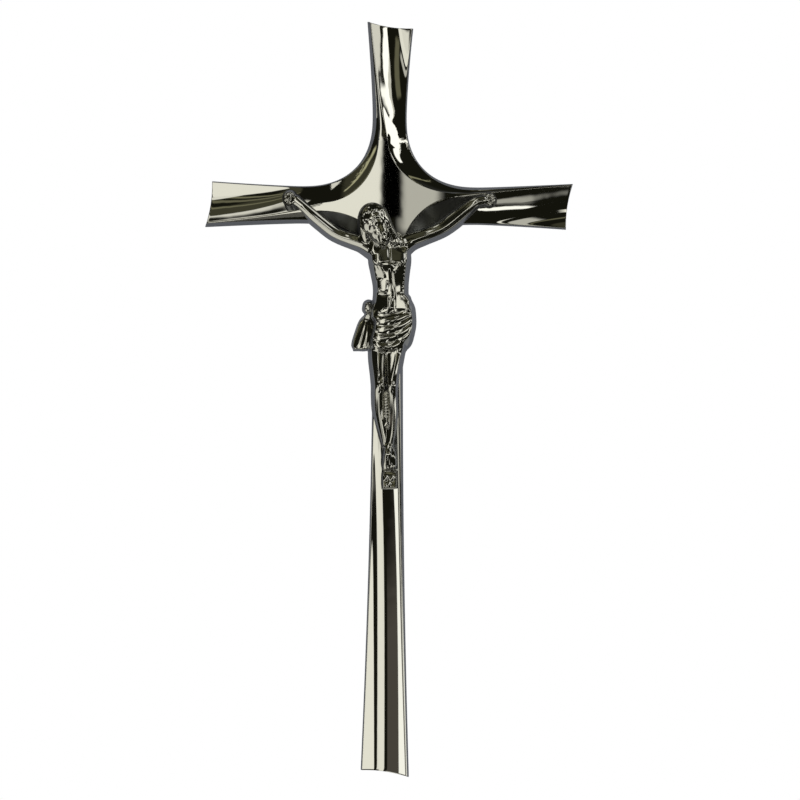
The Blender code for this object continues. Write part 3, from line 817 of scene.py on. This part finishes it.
def nearest(x, z, run):      # distance to a run, its share at the nearest place, and what it states there
    best = np.full(x.shape, farAway)
    values = np.zeros(x.shape + (run.shape[1] - 1,))
    for number, (a, b) in enumerate(zip(run, run[1:])):
        way = b - a
        share = ((x - a[0]) * way[0] + (z - a[1]) * way[1]) / (way[0] ** 2 + way[1] ** 2)
        share = np.clip(share, 0, 1)
        away = np.hypot(x - a[0] - share * way[0], z - a[1] - share * way[1])
        closer = away < best
        best[closer] = away[closer]
        values[closer, 0] = (number + share[closer]) / (len(run) - 1)
        values[closer, 1:] = a[2:] + share[closer, None] * way[2:]
    return best, values


def fall(away, radius, name):      # drop from the front of a rounded form, with its drafted wall beyond
    bulge = figureSettings["bulges"].get(name, figureSettings["bulge"])
    turn = steep / math.hypot(bulge, steep)
    inside = np.minimum(away / radius, turn)
    return radius * bulge * (1 - np.sqrt(1 - inside * inside)) + steep * np.maximum(0, away - turn * radius)


def wallReach(front):
    return front / steep + figureSettings["wallMargin"]


def addLimb(relief, name, stations):
    run = smoothRun(stations)
    place, x, z = relief.window(run, max(run[:, 2]) + wallReach(max(run[:, 3])))
    away, values = nearest(x, z, run)
    relief.join(place, values[..., 2] - fall(away, values[..., 1], name), figureSettings["blend"])


def addDome(relief, name, centre, sizes, front, lean):
    place, x, z = relief.window([centre], max(sizes) + wallReach(front) * max(sizes) / min(sizes))
    u, v = leaning(x - centre[0], z - centre[1], lean)
    radius = min(sizes)
    form = front - fall(np.hypot(u / sizes[0], v / sizes[1]) * radius, radius, name)
    relief.join(place, form, figureSettings["blend"])


def leaning(x, z, lean):
    cosine = math.cos(math.radians(lean))
    sine = math.sin(math.radians(lean))
    return x * cosine + z * sine, z * cosine - x * sine


def outside(x, z, corners):      # distance out of a convex outline
    middle = np.mean(corners, axis=0)
    away = np.full_like(x, nowhere)
    for (x0, z0), (x1, z1) in zip(corners, corners[1:] + corners[:1]):
        length = math.hypot(x1 - x0, z1 - z0)
        turn = math.copysign(1, (x1 - x0) * (middle[1] - z0) - (z1 - z0) * (middle[0] - x0))
        away = np.maximum(away, -turn * ((x1 - x0) * (z - z0) - (z1 - z0) * (x - x0)) / length)
    return away


def addPlate(relief, corners, edge, front):
    place, x, z = relief.window(corners, wallReach(front))
    away = outside(x, z, corners)
    drop = fall(np.maximum(0, away + edge), edge, "plate")
    relief.join(place, front - drop, figureSettings["plateBlend"])


def addLayer(relief, corners, edge, rise):
    place, x, z = relief.window(corners, 1)
    share = np.clip(-outside(x, z, corners) / edge, 0, 1)
    relief.height[place] += rise * ease(share)


def carve(relief, run, width, rise):
    place, x, z = relief.window(run, width)
    away, values = nearest(x, z, run)
    body = np.maximum(0, 1 - (away / width) ** 2) ** figureSettings["carvePower"]
    relief.height[place] += rise * body * np.sqrt(np.maximum(0, np.sin(math.pi * values[..., 0])))


def addFolds(relief, width, rise, lines):
    every = [smoothRun(line) for line in lines]
    place, x, z = relief.window(np.vstack(every), width)
    body = np.zeros_like(x)
    for run in every:
        away, values = nearest(x, z, run)
        ends = np.sqrt(np.maximum(0, np.sin(math.pi * values[..., 0])))
        body = np.maximum(body, (1 - (away / width) ** 2) * ends)
    relief.height[place] += rise * body


def addPanel(relief, centre, sizes, lean, height, slopes, share):      # a place worked towards an even face
    place, x, z = relief.window([centre], max(sizes))
    u, v = leaning(x - centre[0], z - centre[1], lean)
    power = figureSettings["panelPower"]
    inside = np.clip(1 - (u / sizes[0]) ** power - (v / sizes[1]) ** power, 0, 1)
    even = height + slopes[0] * (x - centre[0]) + slopes[1] * (z - centre[1])
    old = relief.height[place]
    relief.height[place] = old + (even - old) * share * inside * (2 - inside)


def swell(relief, centre, sizes, lean, rise):
    place, x, z = relief.window([centre], max(sizes))
    u, v = leaning(x - centre[0], z - centre[1], lean)
    away = np.hypot(u / sizes[0], v / sizes[1])
    relief.height[place] += rise * np.maximum(0, 1 - away * away) ** figureSettings["carvePower"]


def addBeads(relief, first, last, number, sizes, lean, rise):
    for k in range(number):
        share = k / (number - 1)
        centre = (first[0] + share * (last[0] - first[0]), first[1] + share * (last[1] - first[1]))
        swell(relief, centre, sizes, lean, rise)


def beside(run, offsets):      # a run moved sideways, to the right of its way
    along = np.gradient(run[:, :2], axis=0)
    across = np.column_stack([along[:, 1], -along[:, 0]]) / np.linalg.norm(along, axis=1)[:, None]
    return run[:, :2] + across * np.reshape(offsets, (-1, 1))


def addStrands(relief, guide, number, spread):
    run = smoothRun(guide)
    lines = []
    steps = np.hypot(*np.diff(run, axis=0).T)
    length = np.concatenate([[0], np.cumsum(steps)])
    for k in range(number):
        offset = spread * (k / (number - 1) - 0.5)
        turn = 2 * math.pi * length / strandSettings["waveLength"] + strandSettings["phase"] * k
        strand = beside(run, offset + strandSettings["wave"] * np.sin(turn))
        lines.append(strand[::figureSettings["runSteps"] // 2])
    addFolds(relief, strandSettings["width"], strandSettings["rise"], lines)


def inHead(u, v):
    x, z = leaning(u, v, -headSettings["lean"])
    centre = headSettings["centre"]
    return centre[0] + x, centre[1] + z


def addHead(relief):
    lean = headSettings["lean"]
    for guide, number, spread in hairStrands.values():
        addStrands(relief, guide, number, spread)
    for (u, v), sizes, rise in faceSwells:
        for side in (-1, 1) if u else (1,):
            swell(relief, inHead(u * side, v), sizes, lean, rise)
    addStrands(relief, [inHead(*place) for place in beardSettings["guide"]], beardSettings["strands"],
               beardSettings["spread"])
    band = smoothRun(headSettings["band"])
    number = headSettings["bandPieces"]
    for k in range(number):
        at = round((k + 0.5) * (len(band) - 2) / number)
        way = band[at + 1] - band[at]
        lean = math.degrees(math.atan2(way[1], way[0])) + headSettings["bandLean"]
        swell(relief, band[at], headSettings["bandSize"], lean, headSettings["bandRise"])


def addHand(relief, centre, outward):
    def joint(turn, distance, sizes, lean, rise):
        angle = math.radians(outward + turn)
        place = (centre[0] + distance * math.cos(angle), centre[1] + distance * math.sin(angle))
        swell(relief, place, sizes, outward + turn + lean, rise)

    knuckle = handSettings["knuckle"]
    knuckleAt = handSettings["knuckleAt"]
    for turn in handSettings["fingerTurns"]:
        joint(turn, knuckleAt, knuckle, 0, handSettings["knuckleRise"])
        joint(turn, handSettings["tipAt"], handSettings["tip"], 0, handSettings["tipRise"])
    for turn in handSettings["thumbTurns"]:
        joint(turn, knuckleAt, knuckle, handSettings["thumbLean"], handSettings["thumbRise"])


def addDetail(relief):
    for corners, edge, rise in layers.values():
        addLayer(relief, corners, edge, rise)
    for panel in panels.values():
        addPanel(relief, *panel)
    for width, rise, lines in folds.values():
        addFolds(relief, width, rise, lines)
    for strokes in carving.values():
        for points, width, rise in strokes:
            carve(relief, smoothRun(points), width, rise)
    for forms in swells.values():
        for centre, sizes, lean, rise in forms:
            swell(relief, centre, sizes, lean, rise)
    for row in beadRows.values():
        addBeads(relief, *row)
    for name, first, last, offset in armStrips.values():
        run = smoothRun(limbs[name][first:last])
        carve(relief, beside(run, offset), stripSettings["width"], stripSettings["rise"])
    addHead(relief)
    for side in ("left", "right"):
        addHand(relief, *handSettings[side])


def makeFigure():
    relief = Relief(figureSettings["low"], figureSettings["high"])
    for name, stations in limbs.items():
        addLimb(relief, name, stations)
    for name, (centre, sizes, front, lean) in domes.items():
        addDome(relief, name, centre, sizes, front, lean)
    for corners, edge, front in plates.values():
        addPlate(relief, corners, edge, front)
    addDetail(relief)
    relief.height = soften(np.maximum(relief.height, -figureSettings["deep"]), figureSettings["softening"])
    print("relief worked out", relief.height.shape)
    columns = len(relief.x) - 1
    rows = len(relief.z) - 1
    deselectAll()
    bpy.ops.mesh.primitive_grid_add(x_subdivisions=columns, y_subdivisions=rows, size=1)
    figure = bpy.context.object
    figure.name = "figure"
    data = figure.data
    flat = readAll(data.vertices, "co", 3)
    i = np.rint((flat[:, 0] + 0.5) * columns).astype(int)
    k = np.rint((flat[:, 1] + 0.5) * rows).astype(int)
    height = relief.height[k, i] * thousandth
    reach = -figureSettings["overrun"] - 2 * figureSettings["grid"] * steep
    spare = height < reach
    flat[:, 0] = relief.x[i] * thousandth
    flat[:, 2] = relief.z[k] * thousandth
    flat[:, 1] = -np.maximum(height, reach)
    data.vertices.foreach_set("co", flat.ravel())
    data.update()
    mesh = bmesh.new()
    mesh.from_mesh(data)
    mesh.verts.ensure_lookup_table()
    bmesh.ops.delete(mesh, geom=[mesh.verts[n] for n in np.flatnonzero(spare)], context="VERTS")
    bmesh.ops.bisect_plane(mesh, geom=mesh.verts[:] + mesh.edges[:] + mesh.faces[:],
                           plane_co=(0, figureSettings["overrun"], 0), plane_no=(0, 1, 0), clear_outer=True)
    bmesh.ops.triangulate(mesh, faces=mesh.faces)
    rim = [edge for edge in mesh.edges if edge.is_boundary]
    bmesh.ops.triangle_fill(mesh, edges=rim, use_beauty=True)
    bmesh.ops.recalc_face_normals(mesh, faces=mesh.faces)
    mesh.to_mesh(data)
    mesh.free()
    thin = figure.modifiers.new("fewer faces", "DECIMATE")
    thin.ratio = min(1.0, figureSettings["faces"] / len(data.polygons))
    applyAll(figure)
    print("figure made", len(figure.data.polygons))
    return figure, relief


def castTogether(cross, figure):
    smooth = cross.modifiers.new("smooth coves", "SUBSURF")
    smooth.levels = smooth.render_levels = crossSettings["smoothing"]
    applyAll(cross)
    trueStar(cross)
    join = cross.modifiers.new("cast together", "BOOLEAN")
    join.operation = "UNION"
    join.solver = "EXACT"
    join.object = figure
    applyAll(cross)
    bpy.data.objects.remove(figure, do_unlink=True)
    bpy.ops.object.mode_set(mode="EDIT")
    bpy.ops.mesh.select_all(action="SELECT")
    bpy.ops.mesh.bisect(plane_co=(0, 0, 0), plane_no=(0, 1, 0), clear_outer=True, use_fill=True,
                        threshold=crossSettings["cutNear"])
    bpy.ops.mesh.select_all(action="SELECT")
    bpy.ops.mesh.quads_convert_to_tris(quad_method="BEAUTY", ngon_method="BEAUTY")
    bpy.ops.object.mode_set(mode="OBJECT")
    cross.name = "crucifix_cast"
    print("cast together", len(cross.data.polygons))


def shadeFigure(piece, relief):      # a mirror shows each facet, so the relief's slopes shade the figure
    height = soften(relief.height, figureSettings["shadeSoftening"])
    cell = figureSettings["grid"] / thousandth
    slopeZ, slopeX = np.gradient(height, cell)
    data = piece.data
    x, y, z = readAll(data.vertices, "co", 3).T / thousandth
    column = np.clip((x - relief.x[0]) / cell, 0, len(relief.x) - figureSettings["lastCell"])
    row = np.clip((z - relief.z[0]) / cell, 0, len(relief.z) - figureSettings["lastCell"])
    i, k = column.astype(int), row.astype(int)
    u, v = column - i, row - k

    def read(field):
        return ((field[k, i] * (1 - u) + field[k, i + 1] * u) * (1 - v)
                + (field[k + 1, i] * (1 - u) + field[k + 1, i + 1] * u) * v)

    across, along = read(slopeX), read(slopeZ)
    apart = np.abs(read(height) + y) / np.sqrt(1 + across * across + along * along)
    slopes = np.stack([-across, -np.ones_like(x), -along], axis=1)
    slopes /= np.linalg.norm(slopes, axis=1)[:, None]
    corners = readAll(data.loops, "vertex_index", 1, np.int32).reshape(-1, 3)
    flat = readAll(data.polygons, "normal", 3)
    middle = np.stack([slopes[corners[:, n]] for n in range(3)]).mean(axis=0)
    agree = (middle * flat).sum(axis=1) > figureSettings["shadeAgreement"]
    close = apart[corners].max(axis=1) < figureSettings["shadeWithin"]
    onFigure = agree & close & (y[corners].min(axis=1) < -figureSettings["shadeAbove"])
    normals = np.where(onFigure[:, None, None], slopes[corners], 0.0)
    data.normals_split_custom_set(normals.reshape(-1, 3).tolist())
    shaded = np.where(onFigure[:, None, None], normals, flat[:, None, :]).reshape(-1, 3)
    return shaded, np.repeat(onFigure, 3)


# The finish: dark mirror plate, satin side walls

finishSettings = {
    "plate": (0.47, 0.465, 0.42, 1),
    "plateRoughness": 0.025,
    "castRoughness": 0.09,
    "wall": (0.30, 0.31, 0.33, 1),
    "wallRoughness": 0.42,
    "smoothAngle": math.radians(50),
    "steepFrom": 0.31,
    "steepFull": 0.25,
    "rippleBelow": 0.009,
    "rippleFade": 0.002,
    "rippleReach": 0.052,
    "waveScale": 110,
    "waveDetail": 1.0,
    "waveDepth": 0.000012,
    "rippleScale": 420,
    "rippleDetail": 3.0,
    "rippleDepth": 0.00005,
}


def markFinish(piece, shaded, onFigure):
    data = piece.data
    corners = readAll(data.loops, "vertex_index", 1, np.int32).ravel()
    x, y, z = readAll(data.vertices, "co", 3)[corners].T
    across = np.abs(shaded[:, 1])
    span = finishSettings["steepFrom"] - finishSettings["steepFull"]
    wall = np.clip((finishSettings["steepFrom"] - across) / span, 0, 1)
    reach = finishSettings["rippleReach"]
    near = np.clip(2 * (1 - np.maximum(np.abs(x), np.abs(z)) / reach), 0, 1)      # fades in the outer half
    ripple = near * np.clip((finishSettings["rippleBelow"] + y) / finishSettings["rippleFade"], 0, 1)
    for name, values in (("wall", wall), ("ripple", ripple), ("cast", onFigure)):
        mark = data.attributes.new(name, "FLOAT", "CORNER")
        mark.data.foreach_set("value", values.astype(np.float32))


def platedFinish():
    material = bpy.data.materials.new("plated brass")
    material.use_nodes = True
    graph = Graph(material.node_tree)
    shader = material.node_tree.nodes["Principled BSDF"]
    shader.inputs["Metallic"].default_value = 1
    wall = graph.node("ShaderNodeAttribute", {"attribute_name": "wall"}, {}, "Fac")
    ripple = graph.node("ShaderNodeAttribute", {"attribute_name": "ripple"}, {}, "Fac")
    colour = graph.node("ShaderNodeMix", {"data_type": "RGBA"},
                        {0: wall, 6: finishSettings["plate"], 7: finishSettings["wall"]}, 2)
    graph.plug(colour, shader, "Base Color")
    cast = graph.node("ShaderNodeAttribute", {"attribute_name": "cast"}, {}, "Fac")
    polished = finishSettings["plateRoughness"]
    polished = cast * (finishSettings["castRoughness"] - polished) + polished
    graph.plug(wall * (finishSettings["wallRoughness"] - polished) + polished, shader, "Roughness")
    where = graph.node("ShaderNodeTexCoord", {}, {}, "Object")
    wave, fine = (graph.node("ShaderNodeTexNoise", {},
                             {"Vector": where, "Scale": finishSettings[kind + "Scale"],
                              "Detail": finishSettings[kind + "Detail"]}, "Fac")
                  for kind in ("wave", "ripple"))
    height = wave * finishSettings["waveDepth"] + fine * ripple * finishSettings["rippleDepth"]
    bump = graph.node("ShaderNodeBump", {}, {"Height": height, "Strength": 1.0, "Distance": 1.0}, "Normal")
    graph.plug(bump, shader, "Normal")
    return material


def makeCrucifix():
    cross = makeCross()
    figure, relief = makeFigure()
    castTogether(cross, figure)
    activate(cross)
    bpy.ops.object.shade_smooth_by_angle(angle=finishSettings["smoothAngle"])
    markFinish(cross, *shadeFigure(cross, relief))
    cross.data.materials.clear()
    cross.data.materials.append(platedFinish())
    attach(cross, "root")
    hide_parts("crucifix")


makeCrucifix()
print("crucifix made")
